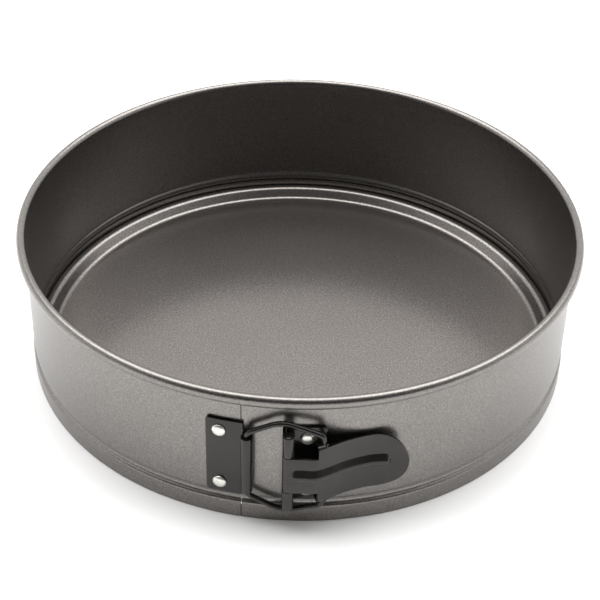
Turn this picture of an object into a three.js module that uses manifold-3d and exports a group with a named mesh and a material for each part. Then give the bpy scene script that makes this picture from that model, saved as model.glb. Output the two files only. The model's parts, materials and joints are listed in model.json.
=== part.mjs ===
// Springform pan: a loose base plate, a spring-steel ring that opens at the front,
// and a lever latch with a wire loop. Millimetres, +Z up, origin at the centre of the underside.
import * as THREE from 'three';
import { mergeVertices } from 'three/addons/utils/BufferGeometryUtils.js';
import Module from 'manifold-3d';

const wasm = await Module();
wasm.setup();

// ---- Driving dimensions -------------------------------------------------
const PAN_HEIGHT = 70;
const RIM_RADIUS = 131; // outside of the rolled rim
const CURL_RADIUS = 2.3; // outside radius of the roll itself
const SHEET = 0.8; // ring and base sheet
const CURL_END = -115; // where the roll stops, short of the wall, in degrees
const GAP = 0.3; // running gap between pieces that touch on the real pan
const OVERCUT = 1; // how far a cutting block runs past what it cuts
const CUTTER_CLEAR = 0.015; // keeps a cutter's faces off the faces of what it cuts
const SEAM_GAP = 0.4; // slit between the two ends of the ring
const RING_STEPS = 72; // facets round the pan
const POST_SIDES = 24;
const BORE_SIDES = 16;
const BEND_STEPS = 3; // facets round one bend of the sheet
const CURL_STEPS = 9;
const SEAM_DEGREES = -10; // seam, measured round from the front centre

const WALL_INNER = RIM_RADIUS - 2 * CURL_RADIUS;
const WALL_OUTER = WALL_INNER + SHEET;
const FOOT_STEP = 0.5; // how far the foot, which holds the base plate, stands out from the wall
const FOOT_OUTER = WALL_OUTER + FOOT_STEP;
const FOOT_ROUNDING = 0.6;
const SHOULDER_RADIUS = 1.8;
const SHOULDER = new THREE.Vector2(FOOT_OUTER - SHOULDER_RADIUS, 7.9); // centre of the foot's rounded top
const SHOULDER_TURN = 65; // how far it bends over, in degrees
const GROOVE_DEPTH = 0.9; // groove round the outside that stands proud inside
const GROOVE_LOW = 11;
const GROOVE_HIGH = 12.3;
const GROOVE_TOP = 13.2;

const BASE_PLAY = 0.5; // between the base plate's edge and the foot round it
const BASE_RADIUS = FOOT_OUTER - SHEET - BASE_PLAY;
const BASE_CREST_INSET = 1.4;
const BASE_CREST = new THREE.Vector2(BASE_RADIUS - BASE_CREST_INSET, 3.1); // centre of the rim's roll
const BASE_CREST_RADIUS = 2.5;
const BASE_EDGE_ANGLE = 56; // where the roll stops at the plate's edge, in degrees
const BASE_RISER_ANGLE = 52; // slope of the riser, in degrees
const BASE_RISER_RUN = 6.43; // from the roll's centre in to the centre of the fillet at its foot
const BASE_FILLET_RADIUS = 3;
const BASE_FILLET = new THREE.Vector2(BASE_CREST.x - BASE_RISER_RUN, SHEET + BASE_FILLET_RADIUS);

const LATCH_Z = 34.1; // height of the latch's centre line
const PLATE_SHEET = 1;
const PLATE_HALF_HEIGHT = 20;
const PLATE_CORNER = 2;
const BARREL_RADIUS = 2.5;
const WIRE_RADIUS = 1.2;
const BORE_RADIUS = WIRE_RADIUS + GAP;
const PIN_RECESS = 0.2; // how far the pin's ends stand inside the knuckles

const KEEPER = new THREE.Vector2(-19.7, -129); // axis the wire turns on
const PIVOT = new THREE.Vector2(-2.6, -133.6); // axis the lever turns on
const EAR = new THREE.Vector2(11.7, -132.2); // axis through the lever's ears
const KEEPER_ARC = [-36.9, KEEPER.x]; // length along the wall, from the front centre
const HINGE_ARC = [-5.1, 13];
const KEEPER_BARREL_HALF = 14.7;
const RIVET_ARC = { keeper: -31.1, hinge: 4.9 };
const RIVET_HALF_SPACING = 14.4;
const RIVET_SHANK = 1.5;
const RIVET_HEAD = 2.9;
const RIVET_DOME = 1.3;
const RIVET_TAIL = 2.6;
const RIVET_TAIL_PLAY = 0.45; // the tail is flat and the wall outside it curved

const LEVER_SHEET = 1.2;
const LEVER_BENDS = [ // plan points of the outer face between its straight tongue and its tip
  new THREE.Vector2(20.3, -129.9),
  new THREE.Vector2(32.7, -124.9),
  new THREE.Vector2(40, -124.2),
];
const LEVER_STEP_X = 9.6;
const LEVER_TIP = new THREE.Vector2(47.2, -125.6);
const LEVER_STEPS = 22;
const TONGUE_HALF_HEIGHT = 9.4;
const RIB_SHARE = [0.06, 0.86]; // stretch of the lever's face that carries the raised rib
const RIB_HALF_WIDTH = 3.6;
const RIB_RISE = 1.9;
const RIB_CENTRE = 0.7; // centre of its oval section, outwards from the face
const RIB_STEPS = 16;
const HANDLE_HALF_HEIGHT = 14.5;
const EAR_HALF_HEIGHT = 14.9;
const EAR_SHEET = 1;
const EAR_WIDTH = 4;
const EAR_PAST_WIRE = 1.9; // how far the ears run on towards the wall behind the wire's tips

const WIRE_APEX = { share: 0.46, z: 24.8 }; // top of each arm, as a share of the way to the ear
const WIRE_ARM_END_Z = 19.2; // where an arm bends down into its tip
const WIRE_LEG_END_Z = 17.1; // where an arm leaves the leg in the keeper
const WIRE_ROUNDING = 2;
const WIRE_STEPS = 64;

// ---- Materials ----------------------------------------------------------
const coatedSteel = (color) => new THREE.MeshStandardMaterial({ color, roughness: 0.35, metalness: 0.7 });
const blackEnamel = () => new THREE.MeshStandardMaterial({ color: 0x242322, roughness: 0.4, metalness: 0.3 });
const aluminium = () => new THREE.MeshStandardMaterial({ color: 0xd9d6cf, roughness: 0.3, metalness: 0.9 });

// ---- Solids and booleans ------------------------------------------------
function toSolid(geometry) {
  const bare = geometry.index ? geometry.clone() : geometry;
  bare.deleteAttribute('normal');
  bare.deleteAttribute('uv');
  const merged = mergeVertices(bare, 1e-4);
  return new wasm.Manifold(new wasm.Mesh({
    numProp: 3,
    vertProperties: new Float32Array(merged.attributes.position.array),
    triVerts: new Uint32Array(merged.index.array),
  }));
}

function toGeometry(solid) {
  const mesh = solid.getMesh();
  const geometry = new THREE.BufferGeometry();
  geometry.setAttribute('position', new THREE.BufferAttribute(new Float32Array(mesh.vertProperties), 3));
  geometry.setIndex(new THREE.BufferAttribute(new Uint32Array(mesh.triVerts), 1));
  geometry.computeVertexNormals();
  return geometry;
}

function named(name, solid, material) {
  const mesh = new THREE.Mesh(toGeometry(solid), material);
  mesh.name = name;
  return mesh;
}

// ---- Shared shapes ------------------------------------------------------
function arc(centreX, centreY, radius, from, to, steps) {
  const points = [];
  for (let i = 0; i <= steps; i += 1) {
    const angle = THREE.MathUtils.degToRad(from + ((to - from) * i) / steps);
    points.push(new THREE.Vector2(centreX + radius * Math.cos(angle), centreY + radius * Math.sin(angle)));
  }
  return points;
}

// A profile of (radius, height) turned about the pan's axis, facets set clear of the seam.
function turned(profile) {
  const facet = (2 * Math.PI) / RING_STEPS;
  const start = THREE.MathUtils.degToRad(SEAM_DEGREES) + facet / 2;
  const geometry = new THREE.LatheGeometry(profile, RING_STEPS, start);
  geometry.rotateX(Math.PI / 2);
  return toSolid(geometry);
}

// An upright cylinder at a plan position.
function post(at, radius, zFrom, zTo, sides = POST_SIDES) {
  const geometry = new THREE.CylinderGeometry(radius, radius, zTo - zFrom, sides);
  geometry.rotateX(Math.PI / 2);
  geometry.translate(at.x, at.y, (zFrom + zTo) / 2);
  return toSolid(geometry);
}

function box(low, high) {
  const size = new THREE.Vector3().subVectors(high, low);
  const geometry = new THREE.BoxGeometry(size.x, size.y, size.z);
  geometry.translate((low.x + high.x) / 2, (low.y + high.y) / 2, (low.z + high.z) / 2);
  return toSolid(geometry);
}

// An upright extrusion of a plan shape.
function upright(shape, zFrom, zTo) {
  const geometry = new THREE.ExtrudeGeometry(shape, { depth: zTo - zFrom, bevelEnabled: false });
  geometry.translate(0, 0, zFrom);
  return toSolid(geometry);
}

// Angle round the pan of a length measured along the outside of the wall.
const wallAngle = (length) => length / WALL_OUTER;

// A sheet that lies on the wall, between two lengths along it, centred on the latch.
function wallSheet([from, to]) {
  const inner = WALL_OUTER + GAP;
  const outer = inner + PLATE_SHEET;
  const start = wallAngle(from) - Math.PI / 2;
  const end = wallAngle(to) - Math.PI / 2;
  const shape = new THREE.Shape();
  shape.absarc(0, 0, outer, start, end, false);
  shape.absarc(0, 0, inner, end, start, true);
  const geometry = new THREE.ExtrudeGeometry(shape, {
    depth: 2 * PLATE_HALF_HEIGHT, bevelEnabled: false, curveSegments: 8,
  });
  geometry.translate(0, 0, LATCH_Z - PLATE_HALF_HEIGHT);
  return toSolid(geometry);
}

// Cuts the sheet's outer corners round; side is -1 for the left end and 1 for the right.
function cornerCutters(length, side) {
  const depth = 2 * PLATE_HALF_HEIGHT;
  const cutters = [];
  for (const up of [-1, 1]) {
    const shape = new THREE.Shape();
    shape.moveTo(0, 0);
    shape.lineTo(-side * PLATE_CORNER, 0);
    shape.absarc(-side * PLATE_CORNER, -up * PLATE_CORNER, PLATE_CORNER, (up * Math.PI) / 2,
      side > 0 ? 0 : up * Math.PI, side * up > 0);
    shape.lineTo(0, 0);
    const geometry = new THREE.ExtrudeGeometry(shape, { depth, bevelEnabled: false, curveSegments: 5 });
    geometry.rotateX(Math.PI / 2);
    geometry.translate(
      side * CUTTER_CLEAR, depth / 2 - WALL_OUTER, LATCH_Z + up * (PLATE_HALF_HEIGHT + CUTTER_CLEAR),
    );
    geometry.rotateZ(wallAngle(length));
    cutters.push(toSolid(geometry));
  }
  return cutters;
}

// ---- Base plate ---------------------------------------------------------
function basePlate() {
  const riser = 90 + BASE_RISER_ANGLE;
  const { x, y } = BASE_CREST;
  const fillet = BASE_FILLET;
  const profile = [
    new THREE.Vector2(0, 0),
    ...arc(fillet.x, fillet.y, BASE_FILLET_RADIUS + SHEET, -90, riser - 180, BEND_STEPS),
    ...arc(x, y, BASE_CREST_RADIUS - SHEET, riser, BASE_EDGE_ANGLE, BEND_STEPS),
    ...arc(x, y, BASE_CREST_RADIUS, BASE_EDGE_ANGLE, riser, BEND_STEPS + 1),
    ...arc(fillet.x, fillet.y, BASE_FILLET_RADIUS, riser - 180, -90, BEND_STEPS),
    new THREE.Vector2(0, SHEET),
  ];
  return named('base_plate', turned(profile), coatedSteel(0x57524e));
}

// ---- Ring ---------------------------------------------------------------
function ringProfile() {
  const curlX = RIM_RADIUS - CURL_RADIUS;
  const curlZ = PAN_HEIGHT - CURL_RADIUS;
  const grooveOuter = WALL_OUTER - GROOVE_DEPTH;
  const outside = [
    ...arc(FOOT_OUTER - FOOT_ROUNDING, FOOT_ROUNDING, FOOT_ROUNDING, -90, 0, BEND_STEPS - 1),
    ...arc(SHOULDER.x, SHOULDER.y, SHOULDER_RADIUS, 0, SHOULDER_TURN, BEND_STEPS),
    new THREE.Vector2(grooveOuter, GROOVE_LOW),
    new THREE.Vector2(grooveOuter, GROOVE_HIGH),
    new THREE.Vector2(WALL_OUTER, GROOVE_TOP),
  ];
  const inside = [
    new THREE.Vector2(WALL_INNER, GROOVE_TOP + SHEET / 3),
    new THREE.Vector2(grooveOuter - SHEET, GROOVE_HIGH),
    new THREE.Vector2(grooveOuter - SHEET, GROOVE_LOW),
    ...arc(SHOULDER.x, SHOULDER.y, SHOULDER_RADIUS - SHEET, SHOULDER_TURN, 0, BEND_STEPS),
    new THREE.Vector2(FOOT_OUTER - SHEET, 0),
  ];
  return [
    inside[inside.length - 1],
    ...outside,
    ...arc(curlX, curlZ, CURL_RADIUS - SHEET, 180, CURL_END, CURL_STEPS - 1),
    ...arc(curlX, curlZ, CURL_RADIUS, CURL_END, 180, CURL_STEPS),
    ...inside,
  ];
}

// One half of the ring; side is 1 for the half to the right of the seam, -1 for the left.
function ringHalf(ring, side, rivetHoles) {
  const reach = 2 * RIM_RADIUS;
  const geometry = new THREE.BoxGeometry(reach, 2 * reach, 3 * PAN_HEIGHT);
  geometry.translate(side * (SEAM_GAP - reach) / 2, 0, PAN_HEIGHT / 2);
  geometry.rotateZ(THREE.MathUtils.degToRad(SEAM_DEGREES));
  return rivetHoles.reduce((half, hole) => half.subtract(hole), ring.subtract(toSolid(geometry)));
}

// ---- Rivets -------------------------------------------------------------
// A turned shape standing on the wall at a length along it and a height, pointing outwards.
function onWall(profile, length, z, sides) {
  const geometry = new THREE.LatheGeometry(profile, sides);
  geometry.rotateX(Math.PI);
  geometry.translate(0, 0, z);
  geometry.rotateZ(wallAngle(length));
  return toSolid(geometry);
}

function rivetHole(length, z) {
  const radius = RIVET_SHANK + GAP;
  const from = WALL_INNER - OVERCUT;
  const to = WALL_OUTER + GAP + PLATE_SHEET + OVERCUT;
  const profile = [
    new THREE.Vector2(0, from),
    new THREE.Vector2(radius, from),
    new THREE.Vector2(radius, to),
    new THREE.Vector2(0, to),
  ];
  return onWall(profile, length, z, BORE_SIDES);
}

// Domed head outside, shank through plate and wall, flat tail inside.
function rivet(name, length, z) {
  const tailOut = WALL_INNER - RIVET_TAIL_PLAY;
  const headIn = WALL_OUTER + PLATE_SHEET + 2 * GAP;
  const domeRadius = (RIVET_HEAD ** 2 + RIVET_DOME ** 2) / (2 * RIVET_DOME);
  const edge = THREE.MathUtils.radToDeg(Math.acos(RIVET_HEAD / domeRadius));
  const profile = [
    new THREE.Vector2(0, tailOut - SHEET),
    new THREE.Vector2(RIVET_TAIL, tailOut - SHEET),
    new THREE.Vector2(RIVET_TAIL, tailOut),
    new THREE.Vector2(RIVET_SHANK, tailOut),
    new THREE.Vector2(RIVET_SHANK, headIn),
    ...arc(0, headIn + RIVET_DOME - domeRadius, domeRadius, edge, 90, 4),
  ];
  profile[profile.length - 1].x = 0;
  return named(name, onWall(profile, length, z, BORE_SIDES), aluminium());
}

// ---- Keeper -------------------------------------------------------------
function keeperPlate(rivetHoles) {
  const barrel = post(KEEPER, BARREL_RADIUS, LATCH_Z - KEEPER_BARREL_HALF, LATCH_Z + KEEPER_BARREL_HALF);
  const reach = PLATE_HALF_HEIGHT + OVERCUT;
  const bore = post(KEEPER, BORE_RADIUS, LATCH_Z - reach, LATCH_Z + reach, BORE_SIDES);
  let solid = wallSheet(KEEPER_ARC).add(barrel).subtract(bore);
  for (const cutter of [...cornerCutters(KEEPER_ARC[0], -1), ...rivetHoles]) {
    solid = solid.subtract(cutter);
  }
  return named('keeper_plate', solid, blackEnamel());
}

// ---- Hinge plate --------------------------------------------------------
function hingePlate(rivetHoles) {
  const bottom = LATCH_Z - PLATE_HALF_HEIGHT;
  const top = LATCH_Z + PLATE_HALF_HEIGHT;
  const left = PIVOT.x - BARREL_RADIUS;
  const web = box(
    new THREE.Vector3(left, PIVOT.y, bottom),
    new THREE.Vector3(left + PLATE_SHEET, -WALL_OUTER - 2 * GAP, top),
  );
  const notchHalf = TONGUE_HALF_HEIGHT + GAP;
  const notch = box(
    new THREE.Vector3(left - OVERCUT, PIVOT.y - BARREL_RADIUS - OVERCUT, LATCH_Z - notchHalf),
    new THREE.Vector3(
      PIVOT.x + BARREL_RADIUS + OVERCUT, -WALL_OUTER - PLATE_SHEET - 2 * GAP, LATCH_Z + notchHalf,
    ),
  );
  let solid = wallSheet(HINGE_ARC)
    .add(web)
    .add(post(PIVOT, BARREL_RADIUS, bottom, top))
    .subtract(post(PIVOT, BORE_RADIUS, bottom - OVERCUT, top + OVERCUT, BORE_SIDES))
    .subtract(notch);
  for (const cutter of [...cornerCutters(HINGE_ARC[1], 1), ...rivetHoles]) {
    solid = solid.subtract(cutter);
  }
  return named('hinge_plate', solid, blackEnamel());
}

function hingePin() {
  const reach = PLATE_HALF_HEIGHT - PIN_RECESS;
  const pin = post(PIVOT, WIRE_RADIUS, LATCH_Z - reach, LATCH_Z + reach, BORE_SIDES);
  return named('hinge_pin', pin, blackEnamel());
}

// ---- Lever --------------------------------------------------------------
// Plan line of the lever's outer face: straight tongue, bend towards the wall, lifted tip.
function leverFace() {
  const front = PIVOT.y - BARREL_RADIUS;
  return new THREE.SplineCurve([
    new THREE.Vector2(PIVOT.x, front),
    new THREE.Vector2((PIVOT.x + LEVER_STEP_X) / 2, front),
    new THREE.Vector2(LEVER_STEP_X, front),
    ...LEVER_BENDS,
    LEVER_TIP,
  ]);
}

// Plan point at a share of the way along a curve, moved outwards by a distance.
function besideFace(curve, share, outwards) {
  const point = curve.getPoint(share);
  const tangent = curve.getTangent(share);
  return new THREE.Vector2(point.x + tangent.y * outwards, point.y - tangent.x * outwards);
}

function leverSheet() {
  const face = leverFace();
  const outer = [];
  const inner = [];
  for (let i = 0; i <= LEVER_STEPS; i += 1) {
    outer.push(besideFace(face, i / LEVER_STEPS, 0));
    inner.push(besideFace(face, i / LEVER_STEPS, -LEVER_SHEET));
  }
  const shape = new THREE.Shape([...outer, ...inner.reverse()]);
  return upright(shape, LATCH_Z - EAR_HALF_HEIGHT, LATCH_Z + EAR_HALF_HEIGHT);
}

// Outline of the lever seen from the front, as a block that runs through the sheet.
function leverOutline() {
  const handleEnd = LEVER_TIP.x - HANDLE_HALF_HEIGHT;
  const earEnd = LEVER_STEP_X + EAR_WIDTH;
  const shoulder = earEnd + EAR_WIDTH;
  const shape = new THREE.Shape();
  shape.moveTo(PIVOT.x - BARREL_RADIUS, -TONGUE_HALF_HEIGHT);
  shape.lineTo(LEVER_STEP_X, -TONGUE_HALF_HEIGHT);
  shape.lineTo(LEVER_STEP_X, -EAR_HALF_HEIGHT);
  shape.lineTo(earEnd, -EAR_HALF_HEIGHT);
  shape.lineTo(shoulder, -HANDLE_HALF_HEIGHT);
  shape.absarc(handleEnd, 0, HANDLE_HALF_HEIGHT, -Math.PI / 2, Math.PI / 2, false);
  shape.lineTo(shoulder, HANDLE_HALF_HEIGHT);
  shape.lineTo(earEnd, EAR_HALF_HEIGHT);
  shape.lineTo(LEVER_STEP_X, EAR_HALF_HEIGHT);
  shape.lineTo(LEVER_STEP_X, TONGUE_HALF_HEIGHT);
  shape.lineTo(PIVOT.x - BARREL_RADIUS, TONGUE_HALF_HEIGHT);
  const depth = 2 * HANDLE_HALF_HEIGHT;
  const geometry = new THREE.ExtrudeGeometry(shape, { depth, bevelEnabled: false, curveSegments: 10 });
  geometry.rotateX(Math.PI / 2);
  geometry.translate(0, PIVOT.y + depth / 2, LATCH_Z);
  return toSolid(geometry);
}

// Tab bent back from the lever's edge; the wire's tip stands just outside it.
function leverEar(up) {
  const outer = LATCH_Z + up * EAR_HALF_HEIGHT;
  const inner = outer - up * EAR_SHEET;
  const face = PIVOT.y - BARREL_RADIUS + LEVER_SHEET / 2;
  return box(
    new THREE.Vector3(LEVER_STEP_X, face, Math.min(outer, inner)),
    new THREE.Vector3(LEVER_STEP_X + EAR_WIDTH, EAR.y + EAR_PAST_WIRE, Math.max(outer, inner)),
  );
}

// Rib pressed out of the face: an oval section run along the lever's plan line.
function leverRib() {
  const face = leverFace();
  const points = [];
  for (let i = 0; i <= RIB_STEPS; i += 1) {
    const at = besideFace(face, THREE.MathUtils.lerp(...RIB_SHARE, i / RIB_STEPS), RIB_CENTRE);
    points.push(new THREE.Vector3(at.x, at.y, LATCH_Z));
  }
  const section = new THREE.Shape();
  section.absellipse(0, 0, RIB_HALF_WIDTH, RIB_RISE - RIB_CENTRE, 0, 2 * Math.PI);
  return toSolid(new THREE.ExtrudeGeometry(section, {
    steps: RIB_STEPS, curveSegments: 6, extrudePath: new THREE.CatmullRomCurve3(points), bevelEnabled: false,
  }));
}

function lever() {
  const low = LATCH_Z - TONGUE_HALF_HEIGHT;
  const high = LATCH_Z + TONGUE_HALF_HEIGHT;
  const solid = leverSheet()
    .intersect(leverOutline())
    .add(leverRib())
    .add(post(PIVOT, BARREL_RADIUS, low, high))
    .add(leverEar(1))
    .add(leverEar(-1))
    .subtract(post(PIVOT, BORE_RADIUS, low - OVERCUT, high + OVERCUT, BORE_SIDES));
  return named('lever', solid, blackEnamel());
}

// ---- Wire loop ----------------------------------------------------------
// One bent wire: a leg in the keeper's barrel, an arm over each side of the lever's pivot,
// and a tip that stands on each of the lever's ears. Corners are rounded by short curves.
function wirePath() {
  const reach = KEEPER.distanceTo(EAR);
  const corners = [
    [reach, EAR_HALF_HEIGHT + GAP],
    [reach, WIRE_ARM_END_Z],
    [WIRE_APEX.share * reach, WIRE_APEX.z],
    [0, WIRE_LEG_END_Z],
  ];
  const mirrored = corners.map(([s, z]) => [s, -z]).reverse();
  const direction = new THREE.Vector2().subVectors(EAR, KEEPER).normalize();
  const points = [...corners, ...mirrored].map(([s, z]) => new THREE.Vector3(
    KEEPER.x + direction.x * s, KEEPER.y + direction.y * s, LATCH_Z + z));
  const path = new THREE.CurvePath();
  let from = points[0];
  for (let i = 1; i < points.length - 1; i += 1) {
    const corner = points[i];
    const before = corner.clone().add(points[i - 1].clone().sub(corner).setLength(WIRE_ROUNDING));
    const after = corner.clone().add(points[i + 1].clone().sub(corner).setLength(WIRE_ROUNDING));
    path.add(new THREE.LineCurve3(from, before));
    path.add(new THREE.QuadraticBezierCurve3(before, corner, after));
    from = after;
  }
  path.add(new THREE.LineCurve3(from, points[points.length - 1]));
  return path;
}

function wireLoop() {
  const section = new THREE.Shape();
  section.absarc(0, 0, WIRE_RADIUS, 0, 2 * Math.PI, false);
  const geometry = new THREE.ExtrudeGeometry(section, {
    steps: WIRE_STEPS, curveSegments: 4, extrudePath: wirePath(), bevelEnabled: false,
  });
  return named('wire_loop', toSolid(geometry), blackEnamel());
}

// ---- Assembly -----------------------------------------------------------
const pan = new THREE.Group();
const rivetHeights = { upper: LATCH_Z + RIVET_HALF_SPACING, lower: LATCH_Z - RIVET_HALF_SPACING };
const holes = {};
for (const [plate, length] of Object.entries(RIVET_ARC)) {
  holes[plate] = Object.values(rivetHeights).map((z) => rivetHole(length, z));
  for (const [place, z] of Object.entries(rivetHeights)) {
    pan.add(rivet(`${plate}_rivet_${place}`, length, z));
  }
}
const ring = turned(ringProfile());
pan.add(
  basePlate(),
  named('band_right', ringHalf(ring, 1, holes.hinge), coatedSteel(0x8b8681)),
  named('band_left', ringHalf(ring, -1, holes.keeper), coatedSteel(0x8b8681)),
  keeperPlate(holes.keeper),
  hingePlate(holes.hinge),
  hingePin(),
  lever(),
  wireLoop(),
);

export default pan;
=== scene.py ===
"""Springform pan: the looks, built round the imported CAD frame. Metres, +Z up, latch towards -Y."""

import json
import math

import bmesh
import bpy
import numpy as np
from mathutils import Matrix, Vector


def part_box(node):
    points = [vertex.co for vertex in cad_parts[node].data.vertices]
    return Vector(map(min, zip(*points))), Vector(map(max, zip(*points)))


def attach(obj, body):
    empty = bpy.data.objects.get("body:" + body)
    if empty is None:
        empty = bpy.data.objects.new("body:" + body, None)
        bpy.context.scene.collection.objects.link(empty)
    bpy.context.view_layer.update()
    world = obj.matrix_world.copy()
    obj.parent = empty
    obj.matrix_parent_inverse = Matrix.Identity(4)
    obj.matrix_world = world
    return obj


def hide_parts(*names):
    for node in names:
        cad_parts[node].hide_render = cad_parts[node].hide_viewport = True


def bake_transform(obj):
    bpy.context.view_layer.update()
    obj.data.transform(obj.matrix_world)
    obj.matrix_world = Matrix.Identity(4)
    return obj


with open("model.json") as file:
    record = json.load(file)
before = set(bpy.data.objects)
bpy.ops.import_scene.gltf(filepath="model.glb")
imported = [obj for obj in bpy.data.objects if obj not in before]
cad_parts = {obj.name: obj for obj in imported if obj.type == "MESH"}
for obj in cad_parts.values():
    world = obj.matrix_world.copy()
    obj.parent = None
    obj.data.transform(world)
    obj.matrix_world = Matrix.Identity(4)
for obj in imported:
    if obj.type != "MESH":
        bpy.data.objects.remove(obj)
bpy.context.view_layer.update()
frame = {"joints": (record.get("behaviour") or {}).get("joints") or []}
MM = 0.001

# ---- Sizes of the pan: the outer ones come from the frame ---------------------
RING_LOW, RING_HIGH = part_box("band_left")
BASE_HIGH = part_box("base_plate")[1]
KEEPER_LOW, KEEPER_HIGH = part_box("keeper_plate")
JOINTS = {joint["name"]: joint for joint in frame["joints"]}

PAN_HEIGHT = RING_HIGH.z
RIM_RADIUS = -RING_LOW.x
WALL_INNER = 126.4 * MM
CURL_RADIUS = (RIM_RADIUS - WALL_INNER) / 2
CURL_DROP = 2.75 * MM  # the roll is a little taller than it is wide
SHEET = 0.8 * MM
WALL_OUTER = WALL_INNER + SHEET
FOOT_OUTER = WALL_OUTER + 0.5 * MM
FOOT_ROUNDING = 0.6 * MM
SHOULDER = (FOOT_OUTER - 1.8 * MM, 7.9 * MM)  # centre of the round above the foot
SHOULDER_RADIUS = FOOT_OUTER - SHOULDER[0]
SHOULDER_TURN = 1.13  # radians up the round to the start of the groove
GROOVE_OUTER = WALL_OUTER - 0.9 * MM
GROOVE_LOW, GROOVE_HIGH, GROOVE_TOP = 11 * MM, 12.3 * MM, 13.2 * MM
SEAM_ANGLE = math.radians(-10)  # from the front centre
SEAM_GAP = 0.4 * MM
RING_STEPS = 360
BASE_STEPS = 360

# ---- Sizes of the latch: its pivots come from the joints -----------------------
LATCH_Z = JOINTS["lever_swing"]["pos_m"][2]
PIVOT = Vector(JOINTS["lever_swing"]["pos_m"][:2])
KEEPER = Vector(JOINTS["wire_swing"]["pos_m"][:2])
EAR = Vector((11.7, -132.2)) * MM
PLATE_SHEET = 1.0 * MM
PLATE_HALF = (KEEPER_HIGH.z - KEEPER_LOW.z) / 2
PLATE_LIFT = 0.3 * MM  # the plates stand this far off the wall
PLATE_FACE = WALL_OUTER + PLATE_LIFT + PLATE_SHEET
ROLL_RADIUS = 2.0 * MM  # to the middle of the sheet
LEVER_SHEET = 1.0 * MM
WIRE_RADIUS = 1.2 * MM
WIRE_SIDES = 20
BARREL_HALF = 14.7 * MM
TONGUE_HALF, HANDLE_HALF, EAR_HALF = 9.4 * MM, 14.5 * MM, 14.9 * MM
LEVER_STEP_X = 9.6 * MM
LEVER_TIP_X = 47.2 * MM
RIB_LEFT_X, RIB_RIGHT_X = -1.8 * MM, 39.2 * MM
RIB_RISE = 1.8 * MM
RIB_SECTION = (  # height over the lever's middle line in mm, and the share of the rib's rise
    (-3.1, -2.5, -1.6, -0.9, -0.4, 0.1, 0.6, 3.5, 3.9),
    (0, 0.12, 0.6, 0.93, 1.0, 0.97, 0.88, 0.06, 0),
)

SAME_POINT = 1e-7
CUT_TOLERANCE = 1e-8
SHEET_CELL = 0.6 * MM
SHEET_EDGE = 0.22 * MM  # rounding of the pressed sheet's edges


# ---- Small helpers ---------------------------------------------------------
def link(name, mesh):
    piece = bpy.data.objects.new(name, mesh)
    bpy.context.scene.collection.objects.link(piece)
    return piece


def smooth(mesh, sharp_degrees=40):
    mesh.shade_smooth()
    mesh.set_sharp_from_angle(angle=math.radians(sharp_degrees))


def bake(piece):
    """Puts the piece's modifiers into its mesh."""
    graph = bpy.context.evaluated_depsgraph_get()
    baked = bpy.data.meshes.new_from_object(piece.evaluated_get(graph))
    piece.modifiers.clear()
    piece.data = baked


def arc(cx, cy, radius, start, end, steps):
    """Points on a circle, angles in degrees."""
    angles = np.radians(np.linspace(start, end, steps + 1))
    return [(cx + radius * math.cos(a), cy + radius * math.sin(a)) for a in angles]


def swept(name, profile, angles):
    """A closed profile of (radius, height) carried round the pan through the angles, with flat ends."""
    mesh = bpy.data.meshes.new(name)
    count = len(profile)
    verts = [(r * math.sin(a), -r * math.cos(a), z) for a in angles for r, z in profile]
    faces = []
    last = (len(angles) - 1) * count
    for here in range(0, last, count):
        there = here + count
        for k in range(count):
            n = (k + 1) % count
            faces.append((here + k, there + k, there + n, here + n))
    faces.append(tuple(range(count)))
    faces.append(tuple(reversed(range(last, last + count))))
    mesh.from_pydata(verts, [], faces)
    tidy_mesh(mesh)
    return link(name, mesh)


def tidy_mesh(mesh):
    """Joins points that fall together and turns all faces outwards."""
    work = bmesh.new()
    work.from_mesh(mesh)
    bmesh.ops.remove_doubles(work, verts=work.verts, dist=SAME_POINT)
    bmesh.ops.recalc_face_normals(work, faces=work.faces)
    work.to_mesh(mesh)
    work.free()


# ---- Ring -------------------------------------------------------------------
def rounded(points, radius, steps=4):
    """The line through the points with its inner corners rounded."""
    out = [points[0]]
    for before, corner, after in zip(points, points[1:], points[2:]):
        before, corner, after = Vector(before), Vector(corner), Vector(after)
        cut = min(radius, (before - corner).length / 2.1, (after - corner).length / 2.1)
        a = corner + (before - corner).normalized() * cut
        b = corner + (after - corner).normalized() * cut
        for k in range(steps + 1):
            t = k / steps
            out.append(tuple(a * (1 - t) ** 2 + corner * 2 * t * (1 - t) + b * t * t))
    out.append(points[-1])
    return out


def stretched(points, middle, factor):
    """The points with their heights stretched away from the middle height."""
    return [(r, middle + (z - middle) * factor) for r, z in points]


def on_shoulder(radius, turn):
    return SHOULDER[0] + radius * math.cos(turn), SHOULDER[1] + radius * math.sin(turn)


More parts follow.
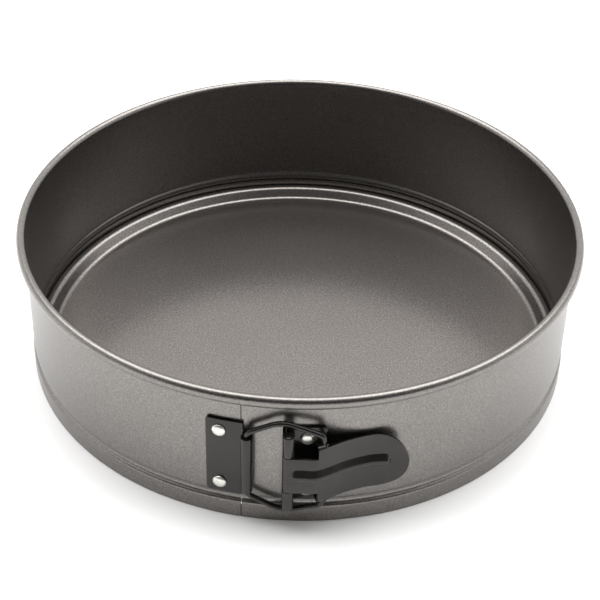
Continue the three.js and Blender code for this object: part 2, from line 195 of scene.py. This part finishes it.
def ring_profile():
    """Closed profile: foot, shoulder, groove and wall on the outside, the curl, and back down inside."""
    cx, cz = RIM_RADIUS - CURL_RADIUS, PAN_HEIGHT - CURL_DROP
    curl_end = -112
    wall_steps = 10
    heights = [GROOVE_TOP + (cz - GROOVE_TOP) * i / wall_steps for i in range(1, wall_steps)]
    foot_inner, foot_edge = FOOT_OUTER - SHEET, 0.2 * MM
    foot_heights = [z * MM for z in (2, 4, 6)]
    groove_rounding, bead_rounding = 0.35 * MM, 0.5 * MM
    bead_top = GROOVE_TOP + 0.3 * MM
    inner_shoulder, inner_curl = SHOULDER_RADIUS - SHEET, CURL_RADIUS - SHEET
    groove = rounded([
        on_shoulder(SHOULDER_RADIUS, SHOULDER_TURN),
        (GROOVE_OUTER, GROOVE_LOW), (GROOVE_OUTER, GROOVE_HIGH), (WALL_OUTER, GROOVE_TOP),
        (WALL_OUTER, heights[0]),
    ], groove_rounding)
    bead = rounded([
        (WALL_INNER, heights[0]), (WALL_INNER, bead_top),
        (GROOVE_OUTER - SHEET, GROOVE_HIGH), (GROOVE_OUTER - SHEET, GROOVE_LOW),
        on_shoulder(inner_shoulder, SHOULDER_TURN),
    ], bead_rounding)
    return (
        [(foot_inner, foot_edge), (foot_inner + foot_edge, 0.0)]
        + arc(FOOT_OUTER - FOOT_ROUNDING, FOOT_ROUNDING, FOOT_ROUNDING, -90, 0, 5)
        + [(FOOT_OUTER, z) for z in foot_heights]
        + arc(*SHOULDER, SHOULDER_RADIUS, 0, 64, 10)
        + groove[1:]
        + [(WALL_OUTER, z) for z in heights[1:]]
        + stretched(arc(cx, cz, inner_curl, 180, curl_end, 26), cz, (CURL_DROP - SHEET) / inner_curl)
        + stretched(arc(cx, cz, CURL_RADIUS, curl_end, 180, 34), cz, CURL_DROP / CURL_RADIUS)
        + [(WALL_INNER, z) for z in reversed(heights[1:])]
        + bead
        + arc(*SHOULDER, inner_shoulder, 60, 0, 6)
        + [(foot_inner, z) for z in reversed(foot_heights)]
    )


def ring_strip():
    """The whole spring-steel strip, from one side of the seam round the back to the other."""
    half_gap = SEAM_GAP / 2 / RIM_RADIUS
    angles = np.linspace(SEAM_ANGLE + half_gap, SEAM_ANGLE + 2 * math.pi - half_gap, RING_STEPS + 1)
    strip = swept("ring_strip", ring_profile(), angles)
    close_seam_at_rim(strip.data)
    smooth(strip.data, 50)
    strip.data.materials.append(MATERIALS["ring"])
    # The strip's two cut end faces are painted near black: painted shade of the seam gap, so that the seam
    # reads as a dark line.
    strip.data.materials.append(MATERIALS["cut edge painted shade"])
    for face in strip.data.polygons:
        face.material_index = int(len(face.vertices) > 4)  # only the two cut ends have more
    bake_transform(strip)
    bend_round_the_back(strip)
    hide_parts("band_right", "band_left")


def close_seam_at_rim(mesh):
    """The two ends of the roll meet more tightly than the walls below them."""
    near, tight = 0.6 * SEAM_GAP / RIM_RADIUS, 0.1 * SEAM_GAP / RIM_RADIUS
    for vert in mesh.vertices:
        if vert.co.z < PAN_HEIGHT - 2 * CURL_DROP:
            continue
        angle = math.atan2(vert.co.x, -vert.co.y) - SEAM_ANGLE
        if abs(angle) < near:
            radius = math.hypot(vert.co.x, vert.co.y)
            angle = SEAM_ANGLE + math.copysign(tight, angle)
            vert.co.x, vert.co.y = radius * math.sin(angle), -radius * math.cos(angle)


def bend_round_the_back(strip):
    """Reads the strip's points into an array; the strip is left as it is."""
    points = np.empty(len(strip.data.vertices) * 3)
    strip.data.vertices.foreach_get("co", points)
    points = points.reshape(-1, 3)


# ---- Base plate ---------------------------------------------------------------
def base_plate():
    """Flat floor, fillet, sloped riser and a rolled rim that ends at the plate's edge."""
    edge = BASE_HIGH.x
    crest, crest_radius = (edge - 1.9 * MM, 2.35 * MM), 3.2 * MM
    fillet_radius = 3 * MM
    fillet = (edge - 8.67 * MM, SHEET + fillet_radius)
    riser, rim = 142, 54  # degrees round the crest, where it leaves the riser and where it ends
    floor_steps = 12
    floor = [(fillet[0] * i / floor_steps, SHEET) for i in range(floor_steps - 1, 0, -1)]
    under = [(r, 0.0) for r, _ in reversed(floor)]
    profile = (
        under
        + arc(*fillet, fillet_radius + SHEET, -90, riser - 180, 8)
        + arc(*crest, crest_radius - SHEET, riser, rim, 8)
        + arc(*crest, crest_radius, rim + 1, riser, 14)
        + arc(*fillet, fillet_radius, riser - 180, -90, 12)
        + floor
    )
    plate = turned("base_disc", profile, BASE_STEPS)
    smooth(plate.data, 50)
    plate.data.materials.append(MATERIALS["base"])
    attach(plate, "base")
    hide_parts("base_plate")


def turned(name, profile, sides, at=(0, 0), tilt=None):
    """A solid turned from an open profile of (radius, height), whose ends are joined to the axis."""
    mesh = bpy.data.meshes.new(name)
    count = len(profile)
    angles = np.linspace(0, 2 * math.pi, sides, endpoint=False)
    verts = [(r * math.cos(a), r * math.sin(a), z) for a in angles for r, z in profile]
    verts += [(0, 0, profile[0][1]), (0, 0, profile[-1][1])]
    first, last = sides * count, sides * count + 1
    faces = []
    for i in range(sides):
        here, there = i * count, ((i + 1) % sides) * count
        faces.append((first, there, here))
        faces.append((last, here + count - 1, there + count - 1))
        for k in range(count - 1):
            faces.append((here + k, there + k, there + k + 1, here + k + 1))
    mesh.from_pydata(verts, [], faces)
    mesh.transform(Matrix.Translation((at[0], at[1], 0)))
    if tilt is not None:
        mesh.transform(tilt)
    tidy_mesh(mesh)
    return link(name, mesh)


# ---- Pressed sheet parts --------------------------------------------------------
class Line:
    """A plan line through points, measured by its length."""

    def __init__(self, points):
        self.points = np.array(points, float)
        steps = np.linalg.norm(np.diff(self.points, axis=0), axis=1)
        self.lengths = np.concatenate([[0], np.cumsum(steps)])

    @property
    def length(self):
        return self.lengths[-1]

    def at(self, s):
        return np.array([np.interp(s, self.lengths, self.points[:, k]) for k in (0, 1)])

    def frame(self, s, reach=0.12 * MM):
        """Point and outward normal: the normal is to the right of the way the line runs."""
        ahead, behind = self.at(min(s + reach, self.length)), self.at(max(s - reach, 0))
        way = ahead - behind
        way /= np.linalg.norm(way)
        return self.at(s), np.array([way[1], -way[0]])


def flat_grid(outline, columns, rows):
    """The outline as a flat face in (length, height), cut into cells along the columns and rows."""
    work = bmesh.new()
    face = work.faces.new([work.verts.new((s, z, 0)) for s, z in outline])
    face.normal_update()
    for places, normal in ((columns, (1, 0, 0)), (rows, (0, 1, 0))):
        for place in places:
            everything = work.verts[:] + work.edges[:] + work.faces[:]
            at = tuple(place * n for n in normal)
            bmesh.ops.bisect_plane(work, geom=everything, dist=CUT_TOLERANCE, plane_co=at, plane_no=normal)
    return work


def pressed_sheet(name, line, outline, thickness, rows=(), bend=None):
    """An outline in (length along the line, height over the latch's centre), bent to the line."""
    columns = np.arange(SHEET_CELL, line.length, SHEET_CELL)
    work = flat_grid(outline, columns, rows)
    for vert in work.verts:
        s, z = vert.co.x, vert.co.y
        inward = 0.0
        if bend is not None:
            z, inward = bend(s, z)
        point, normal = line.frame(s)
        point = point - normal * inward
        vert.co = (point[0], point[1], LATCH_Z + z)
    mesh = bpy.data.meshes.new(name)
    work.to_mesh(mesh)
    work.free()
    piece = link(name, mesh)
    solid = piece.modifiers.new("thickness", "SOLIDIFY")
    solid.thickness = thickness
    solid.offset = 0
    solid.use_even_offset = True
    edges = piece.modifiers.new("edges", "BEVEL")
    edges.width = SHEET_EDGE
    edges.segments = 2
    edges.limit_method = "ANGLE"
    edges.angle_limit = math.radians(50)
    bake(piece)
    smooth(piece.data, 45)
    return piece


def along_wall(radius, start, end, steps):
    """Plan points on a circle round the pan, between two lengths along the wall from the front centre."""
    angles = np.linspace(start / WALL_OUTER, end / WALL_OUTER, steps + 1)
    return [(radius * math.sin(a), -radius * math.cos(a)) for a in angles]


def keeper_plate():
    """Plate on the wall whose right end is rolled round the wire's leg."""
    mid = PLATE_FACE - PLATE_SHEET / 2
    left, right = -36.9 * MM, KEEPER.x - 2.4 * MM
    roll_turn = 318
    toward_axis = math.degrees(math.atan2(-KEEPER.y, -KEEPER.x))
    flat = along_wall(mid, left, right, 40)
    roll = arc(KEEPER.x, KEEPER.y, ROLL_RADIUS, toward_axis, toward_axis - roll_turn, 60)
    line = Line(flat + roll)
    half, barrel = PLATE_HALF, BARREL_HALF
    top_left, bottom_left = 1.3 * MM, 1.8 * MM
    flat_end = Line(flat).length
    lower_corner, chamfer = flat_end + 0.2 * MM, 3.6 * MM
    upper_corner, upper_notch = flat_end + 0.8 * MM, flat_end + 1.2 * MM
    outline = (
        arc(bottom_left, -half + bottom_left, bottom_left, 180, 270, 6)
        + [(lower_corner, -half), (lower_corner + chamfer, -barrel), (line.length, -barrel)]
        + [(line.length, barrel), (upper_notch, barrel), (upper_corner, half)]
        + arc(top_left, half - top_left, top_left, 90, 180, 6)
    )
    plate = pressed_sheet("keeper_bracket", line, outline, PLATE_SHEET)
    dress_latch(plate, "ring_left", "keeper_plate")


def hinge_plate():
    """Plate on the wall behind the lever: its left end stands up and rolls into two knuckles."""
    mid = PLATE_FACE - PLATE_SHEET / 2
    bend = 1.0 * MM
    bend_x = PIVOT.x - ROLL_RADIUS + bend
    wall_y = -math.sqrt(mid ** 2 - bend_x ** 2)
    left, right = math.asin(bend_x / mid) * WALL_OUTER, 13 * MM
    roll_turn = 322
    flat = list(reversed(along_wall(mid, left, right, 30)))
    foot = arc(bend_x, wall_y - bend, bend, 90, 180, 8)
    roll = arc(PIVOT.x, PIVOT.y, ROLL_RADIUS, 180, 180 + roll_turn, 60)
    line = Line(flat + foot + roll)
    notch_end = Line(flat + foot).length + 0.6 * MM
    half, notch = PLATE_HALF, TONGUE_HALF + 0.35 * MM
    corner = 2 * MM
    outline = (
        arc(corner, half - corner, corner, 90, 180, 6)
        + arc(corner, -half + corner, corner, 180, 270, 6)
        + [(line.length, -half), (line.length, -notch), (notch_end, -notch)]
        + [(notch_end, notch), (line.length, notch), (line.length, half)]
    )
    plate = pressed_sheet("hinge_bracket", line, outline, PLATE_SHEET)
    dress_latch(plate, "ring_right", "hinge_plate")


def lever_line():
    """Plan line of the lever's sheet, round the pin and out to the tip, and the length of the roll."""
    roll_start, roll_turn = -40, 310
    roll = arc(PIVOT.x, PIVOT.y, ROLL_RADIUS, roll_start, roll_start + roll_turn, 56)
    face = PIVOT.y - ROLL_RADIUS
    bends = smooth_line([
        (PIVOT.x + 1.0 * MM, face), (3.5 * MM, face), (LEVER_STEP_X - 1 * MM, face),
        (14 * MM, face + 2.6 * MM), (20.3 * MM, face + 6.3 * MM), (27 * MM, face + 9.2 * MM),
        (33 * MM, face + 10.9 * MM), (40 * MM, face + 11.3 * MM), (LEVER_TIP_X, face + 10.0 * MM),
    ])
    return Line(roll + bends), Line(roll).length


def length_at(line, x, beyond):
    """Length along the line, past the given length, at which it reaches x."""
    past = line.lengths > beyond
    return float(np.interp(x, line.points[past, 0], line.lengths[past]))


def lever_outline(line, step, ear_width, reach):
    """Tongue, ears, shoulders and rounded thumb end, from the lower edge round to the upper one."""
    end = line.length
    shoulder = step + 2 * ear_width
    ear_root = (step + ear_width + 0.3 * MM, -EAR_HALF + 0.2 * MM)
    tip_length = 1.03226 * HANDLE_HALF  # a little longer than a half round
    tip = [
        (end - tip_length + tip_length * math.cos(a), HANDLE_HALF * math.sin(a))
        for a in np.radians(np.linspace(-88, 88, 40))
    ]
    lower = [
        (0, -TONGUE_HALF), (step, -TONGUE_HALF), (step, -reach), (step + ear_width, -reach), ear_root,
        (shoulder, -HANDLE_HALF - 0.1 * MM), (shoulder + 4 * MM, -HANDLE_HALF),
    ]
    upper = [(s, -z) for s, z in reversed(lower)]
    return lower + tip + upper


def rib(s, z, start, end):
    """How far the rib stands out at a place on the lever; both of its ends run out in a quarter round."""
    left, right = 2.6 * MM, 1.6 * MM
    along = min(1.0, max(0.0, (s - start) / left), max(0.0, (end - s) / right))
    along = math.sqrt(max(0.0, 1 - (1 - along) ** 2))
    across = float(np.interp(z / (MM * max(along, 0.2)), *RIB_SECTION))
    return RIB_RISE * along * across


def lever():
    """Cam lever: tongue rolled round the pin, ears bent in towards the wall, raised rib and thumb end."""
    line, rolled = lever_line()
    step = length_at(line, LEVER_STEP_X, rolled)
    ear_depth, ear_width = 4.2 * MM, 3.9 * MM
    ear_end = step + ear_width + 0.2 * MM
    rib_start, rib_end = (length_at(line, x, rolled) for x in (RIB_LEFT_X, RIB_RIGHT_X))
    bend_radius = 1.1 * MM
    turn, quarter = EAR_HALF - bend_radius, bend_radius * math.pi / 2

    def bend(s, z):
        side = 1 if z > 0 else -1
        past = abs(z) - turn
        inward = 0.0
        if s <= ear_end and past > 0:
            if past < quarter:
                angle = past / bend_radius
                z = side * (turn + bend_radius * math.sin(angle))
                inward = bend_radius * (1 - math.cos(angle))
            else:
                z = side * EAR_HALF
                inward = bend_radius + past - quarter
        return z, inward - rib(s, z, rib_start, rib_end)

    # Rows of cells where the sheet is shaped: across the rib and round the ears' bends.
    rib_rows = np.linspace(-3.2, 4.0, 37) * MM
    ear_rows = np.linspace(13.5, 19.0, 14) * MM
    rows = np.concatenate([rib_rows, ear_rows, -ear_rows])
    outline = lever_outline(line, step, ear_width, EAR_HALF + ear_depth)
    piece = pressed_sheet("cam_lever", line, outline, LEVER_SHEET, rows, bend)
    dress_latch(piece, "latch_lever", "lever")


def smooth_line(points, steps=16):
    """A Catmull-Rom line through the points, as a list."""
    p = np.array([points[0]] + list(points) + [points[-1]], float)
    out = []
    for i in range(1, len(p) - 2):
        for k in range(steps):
            t = k / steps
            a = 2 * p[i]
            b = p[i + 1] - p[i - 1]
            c = 2 * p[i - 1] - 5 * p[i] + 4 * p[i + 1] - p[i + 2]
            d = -p[i - 1] + 3 * p[i] - 3 * p[i + 1] + p[i + 2]
            out.append(tuple(0.5 * (a + b * t + c * t * t + d * t ** 3)))
    out.append(tuple(p[-2]))
    return out


def dress_latch(piece, body, node):
    piece.data.materials.append(MATERIALS["black"])
    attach(piece, body)
    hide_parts(node)


# ---- Wire loop --------------------------------------------------------------------
def wire_route():
    """Points of the bent wire: tip, arm over the pivot, leg in the keeper's barrel, and back below."""
    way = EAR - KEEPER
    reach = way.length
    way.normalize()
    upper = [(reach, EAR_HALF + 0.25 * MM), (reach, 19.2 * MM), (0.46 * reach, 24.8 * MM), (0, 17.1 * MM)]
    lower = [(s, -z) for s, z in reversed(upper)]
    corners = [Vector((KEEPER.x + way.x * s, KEEPER.y + way.y * s, LATCH_Z + z)) for s, z in upper + lower]
    roundings = [2.4, 5.5, 2.6, 2.6, 5.5, 2.4]
    steps = 12
    route = [corners[0]]
    for before, corner, after, rounding in zip(corners, corners[1:], corners[2:], roundings):
        a = corner + (before - corner).normalized() * rounding * MM
        b = corner + (after - corner).normalized() * rounding * MM
        for k in range(steps + 1):
            t = k / steps
            route.append(a * (1 - t) ** 2 + corner * 2 * t * (1 - t) + b * t * t)
    route.append(corners[-1])
    return route


def wire_loop():
    """The round wire along its route, with flat ends at the lever's ears."""
    route = wire_route()
    way = Vector((EAR.x - KEEPER.x, EAR.y - KEEPER.y, 0)).normalized()
    flat_normal = Vector((-way.y, way.x, 0))
    work = bmesh.new()
    loops = []
    for i, point in enumerate(route):
        before, after = route[max(i - 1, 0)], route[min(i + 1, len(route) - 1)]
        across = (after - before).normalized().cross(flat_normal)
        loop = []
        for k in range(WIRE_SIDES):
            a = 2 * math.pi * k / WIRE_SIDES
            out = flat_normal * math.cos(a) + across * math.sin(a)
            loop.append(work.verts.new(point + out * WIRE_RADIUS))
        loops.append(loop)
    for first, second in zip(loops, loops[1:]):
        for k in range(WIRE_SIDES):
            n = (k + 1) % WIRE_SIDES
            work.faces.new((first[k], first[n], second[n], second[k]))
    work.faces.new(reversed(loops[0]))
    work.faces.new(loops[-1])
    bmesh.ops.recalc_face_normals(work, faces=work.faces)
    mesh = bpy.data.meshes.new("latch_wire")
    work.to_mesh(mesh)
    work.free()
    piece = link("latch_wire", mesh)
    smooth(mesh, 50)
    mesh.materials.append(MATERIALS["wire"])
    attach(piece, "latch_wire")
    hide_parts("wire_loop")


# ---- Pin and rivets ------------------------------------------------------------------
def hinge_pin():
    """Straight pin with a low dome at both ends."""
    half = PLATE_HALF - 0.1 * MM
    radius, dome = 1.45 * MM, 0.55 * MM
    quarter = arc(0, 0, 1, 0, 80, 6)
    profile = [(radius * x, -half + dome - dome * y) for x, y in reversed(quarter)]
    profile += [(radius * x, half - dome + dome * y) for x, y in quarter]
    pin = turned("pivot_pin", profile, 32, at=PIVOT)
    pin.data.transform(Matrix.Translation((0, 0, LATCH_Z)))
    smooth(pin.data, 60)
    dress_latch(pin, "ring_right", "hinge_pin")


def rivet(node, body):
    """Domed head on the plate, shank through plate and wall, and a flatter tail inside the pan."""
    low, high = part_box(node)
    centre = (low + high) / 2
    angle = math.atan2(centre.x, -centre.y)
    shank = 1.5 * MM
    head, dome, head_edge, head_fullness = 3.0 * MM, 1.45 * MM, 0.25 * MM, 0.82
    tail, tail_rise, tail_fullness = 2.6 * MM, 0.75 * MM, 0.7
    inside = WALL_INNER - 0.15 * MM
    profile = [(0.4 * tail, inside - tail_rise)]
    for a in np.radians((70, 50, 30, 12)):
        profile.append((tail * math.cos(a) ** tail_fullness, inside - tail_rise * math.sin(a)))
    profile += [(tail, inside), (shank, inside), (shank, PLATE_FACE), (head - 0.15 * MM, PLATE_FACE)]
    for a in np.radians(np.linspace(0, 86, 14)):
        rise = head_edge + (dome - head_edge) * math.sin(a)
        profile.append((head * math.cos(a) ** head_fullness, PLATE_FACE + rise))
    outwards = Matrix.Rotation(angle, 4, "Z") @ Matrix.Rotation(math.pi / 2, 4, "X")
    stand = Matrix.Translation((0, 0, centre.z)) @ outwards
    piece = turned(node.replace("rivet", "stud"), profile, 40, tilt=stand)
    smooth(piece.data, 40)
    piece.data.materials.append(MATERIALS["rivet"])
    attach(piece, body)
    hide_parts(node)


# ---- Materials ----------------------------------------------------------------------
BUMP_DEPTH = 0.2 * MM


class Nodes:
    """Short calls for building a material's nodes."""

    def __init__(self, name):
        self.material = bpy.data.materials.new(name)
        self.material.use_nodes = True
        self.tree = self.material.node_tree
        self.shader = self.tree.nodes["Principled BSDF"]
        self.coords = self.tree.nodes.new("ShaderNodeTexCoord").outputs["Object"]

    def add(self, kind, links=None, **values):
        node = self.tree.nodes.new(kind)
        for key, value in values.items():
            if key in node.inputs:
                node.inputs[key].default_value = value
            else:
                setattr(node, key, value)
        for socket, source in (links or {}).items():
            self.tree.links.new(source, node.inputs[socket])
        return node

    def noise(self, scale, detail=2.0, roughness=0.5):
        settings = {"Scale": scale, "Detail": detail, "Roughness": roughness}
        return self.add("ShaderNodeTexNoise", {"Vector": self.coords}, **settings).outputs["Fac"]

    def spread(self, source, low, high):
        """The source's 0 to 1 carried over to low to high."""
        node = self.add("ShaderNodeMapRange", {"Value": source}, **{"To Min": low, "To Max": high})
        return node.outputs[0]

    def bump(self, height, strength):
        node = self.add("ShaderNodeBump", {"Height": height}, Strength=strength, Distance=BUMP_DEPTH)
        return node.outputs[0]

    def ramp(self, source, stops):
        node = self.add("ShaderNodeValToRGB", {"Fac": source})
        ramp = node.color_ramp
        while len(ramp.elements) < len(stops):
            ramp.elements.new(0.5)
        for element, (place, value) in zip(ramp.elements, stops):
            element.position = place
            colour = value if hasattr(value, "__len__") else (value,) * 3
            element.color = (*colour, 1)
        return node.outputs["Color"]

    def set(self, **values):
        for key, value in values.items():
            self.shader.inputs[key.replace("_", " ")].default_value = value

    def join(self, **sources):
        for key, source in sources.items():
            self.tree.links.new(source, self.shader.inputs[key.replace("_", " ")])


def tint(colour, factor):
    return tuple(c * factor for c in colour)


def coated_steel(name, colour, roughness, speckle, metallic):
    """Non-stick coating on steel: a fine metallic speckle, a slight orange peel and soft uneven sheen."""
    nodes = Nodes(name)
    grain = 1400.0
    fleck = nodes.noise(grain, detail=1.0, roughness=0.6)
    cloud = nodes.noise(22.0, detail=3.0, roughness=0.5)
    mixed = nodes.add("ShaderNodeMix", data_type="RGBA", blend_type="MULTIPLY")
    mixed.inputs["Factor"].default_value = 1.0
    flecks = nodes.ramp(fleck, [
        (0.30, tint(colour, 1 - speckle)), (0.50, colour),
        (0.64, tint(colour, 1 + speckle)), (0.74, tint(colour, 1 + 2.2 * speckle)),
    ])
    clouds = nodes.ramp(cloud, [(0.3, 0.94), (0.7, 1.0)])
    nodes.tree.links.new(flecks, mixed.inputs[6])
    nodes.tree.links.new(clouds, mixed.inputs[7])
    rough = nodes.spread(fleck, roughness - 0.05, roughness + 0.07)
    peel = nodes.bump(nodes.noise(0.6 * grain), strength=0.06)
    nodes.join(Base_Color=mixed.outputs[2], Roughness=rough, Normal=peel)
    nodes.set(Metallic=metallic)
    return nodes.material


def black_enamel(name, roughness):
    """Satin black enamel: near black, with a fine texture and a faintly uneven gloss."""
    nodes = Nodes(name)
    fine = nodes.noise(1500.0, roughness=0.6)
    cloud = nodes.noise(160.0, detail=3.0, roughness=0.6)
    shade = nodes.ramp(cloud, [(0.3, (0.006, 0.0058, 0.0055)), (0.7, (0.011, 0.0105, 0.0100))])
    rough = nodes.spread(cloud, roughness - 0.05, roughness + 0.06)
    nodes.join(Base_Color=shade, Roughness=rough, Normal=nodes.bump(fine, strength=0.06))
    nodes.set(Metallic=0.0, Specular_IOR_Level=0.44, Specular_Tint=(1.0, 0.955, 0.92, 1))
    return nodes.material


def rivet_aluminium(name):
    """Bright aluminium with faint marks from the setting tool."""
    nodes = Nodes(name)
    marks = nodes.noise(900.0, detail=3.0, roughness=0.6)
    shade = nodes.ramp(marks, [(0.3, (0.58, 0.56, 0.52)), (0.7, (0.72, 0.70, 0.66))])
    rough = nodes.spread(marks, 0.28, 0.42)
    nodes.join(Base_Color=shade, Roughness=rough, Normal=nodes.bump(marks, strength=0.12))
    nodes.set(Metallic=1.0)
    return nodes.material


# ---- Stage, light and camera ----------------------------------------------------------
def floor():
    """White ground that the pan stands on."""
    mesh = bpy.data.meshes.new("floor")
    half = 6.0
    corners = [(-half, -half, 0), (half, -half, 0), (half, half, 0), (-half, half, 0)]
    mesh.from_pydata(corners, [], [(0, 1, 2, 3)])
    ground = link("floor", mesh)
    nodes = Nodes("floor_paint")
    shade = nodes.ramp(nodes.noise(3.0), [(0.0, (0.92, 0.92, 0.92)), (1.0, (0.94, 0.94, 0.94))])
    nodes.join(Base_Color=shade)
    nodes.set(Roughness=0.9)
    mesh.materials.append(nodes.material)


def soft_light(name, at, size, power):
    """A rectangular lamp aimed at the middle of the pan."""
    aim = (0, 0, 0.03)
    light = bpy.data.lights.new(name, "AREA")
    light.shape = "RECTANGLE"
    light.size, light.size_y = size
    light.energy = power
    lamp = bpy.data.objects.new(name, light)
    bpy.context.scene.collection.objects.link(lamp)
    lamp.location = at
    lamp.rotation_euler = (Vector(aim) - Vector(at)).to_track_quat("-Z", "Y").to_euler()


def studio():
    """A white room: bright behind and beside the pan and overhead, dimmer on the viewer's side."""
    world = bpy.data.worlds.new("studio")
    world.use_nodes = True
    tree = world.node_tree
    background = tree.nodes["Background"]
    background.inputs["Color"].default_value = (1.0, 0.99, 0.98, 1)
    direction = tree.nodes.new("ShaderNodeTexCoord").outputs["Generated"]
    split = tree.nodes.new("ShaderNodeSeparateXYZ")
    level = tree.nodes.new("ShaderNodeMapRange")
    level.interpolation_type = "SMOOTHSTEP"
    for key, value in (("From Min", -0.80), ("From Max", 0.15), ("To Min", 0.06), ("To Max", 1.3)):
        level.inputs[key].default_value = value
    tree.links.new(direction, split.inputs[0])
    tree.links.new(split.outputs["Y"], level.inputs["Value"])
    tree.links.new(level.outputs[0], background.inputs["Strength"])
    bpy.context.scene.world = world
    soft_light("overhead", at=(0.0, 0.36, 1.6), size=(3.0, 1.5), power=57)
    bpy.context.scene.view_settings.view_transform = "Standard"


def turn(vector, axis, angle):
    return Matrix.Rotation(angle, 3, axis) @ vector


def camera():
    """Looks down at the pan from in front of the latch."""
    distance, elevation = 738.7 * MM, math.radians(38.640)
    sideways, upwards, roll = math.radians(-0.0486), math.radians(1.2765), math.radians(-1.4486)
    forward = Vector((0, math.cos(elevation), -math.sin(elevation)))
    up = Vector((0, math.sin(elevation), math.cos(elevation)))
    right = Vector((1, 0, 0))
    aim = turn(turn(forward, right, upwards), up, sideways)
    top = turn(turn(up, right, upwards), up, sideways)
    side = aim.cross(top)
    top, side = turn(top, aim, roll), turn(side, aim, roll)
    data = bpy.data.cameras.new("camera")
    data.lens, data.sensor_width = 90, 36
    data.clip_start, data.clip_end = 0.01, 50
    eye = bpy.data.objects.new("camera", data)
    bpy.context.scene.collection.objects.link(eye)
    place = Matrix((side, top, -aim)).transposed().to_4x4()
    place.translation = Vector((0, -distance * math.cos(elevation), distance * math.sin(elevation)))
    eye.matrix_world = place
    bpy.context.scene.camera = eye


MATERIALS = {
    "ring": coated_steel(
        "ring_coating", colour=(0.198, 0.187, 0.177), roughness=0.29, speckle=0.18, metallic=0.96
    ),
    "base": coated_steel(
        "base_coating", colour=(0.188, 0.175, 0.166), roughness=0.22, speckle=0.20, metallic=0.82
    ),
    "black": black_enamel("latch_enamel", roughness=0.24),
    "wire": black_enamel("wire_enamel", roughness=0.16),
    # near-black paint on the ring's cut ends: painted shade of the seam gap
    "cut edge painted shade": black_enamel("cut_edge_painted_shade", roughness=0.5),
    "rivet": rivet_aluminium("rivet_metal"),
}

camera()
studio()
floor()
ring_strip()
base_plate()
keeper_plate()
hinge_plate()
lever()
wire_loop()
hinge_pin()
for place in ("upper", "lower"):
    rivet("keeper_rivet_" + place, "ring_left")
    rivet("hinge_rivet_" + place, "ring_right")
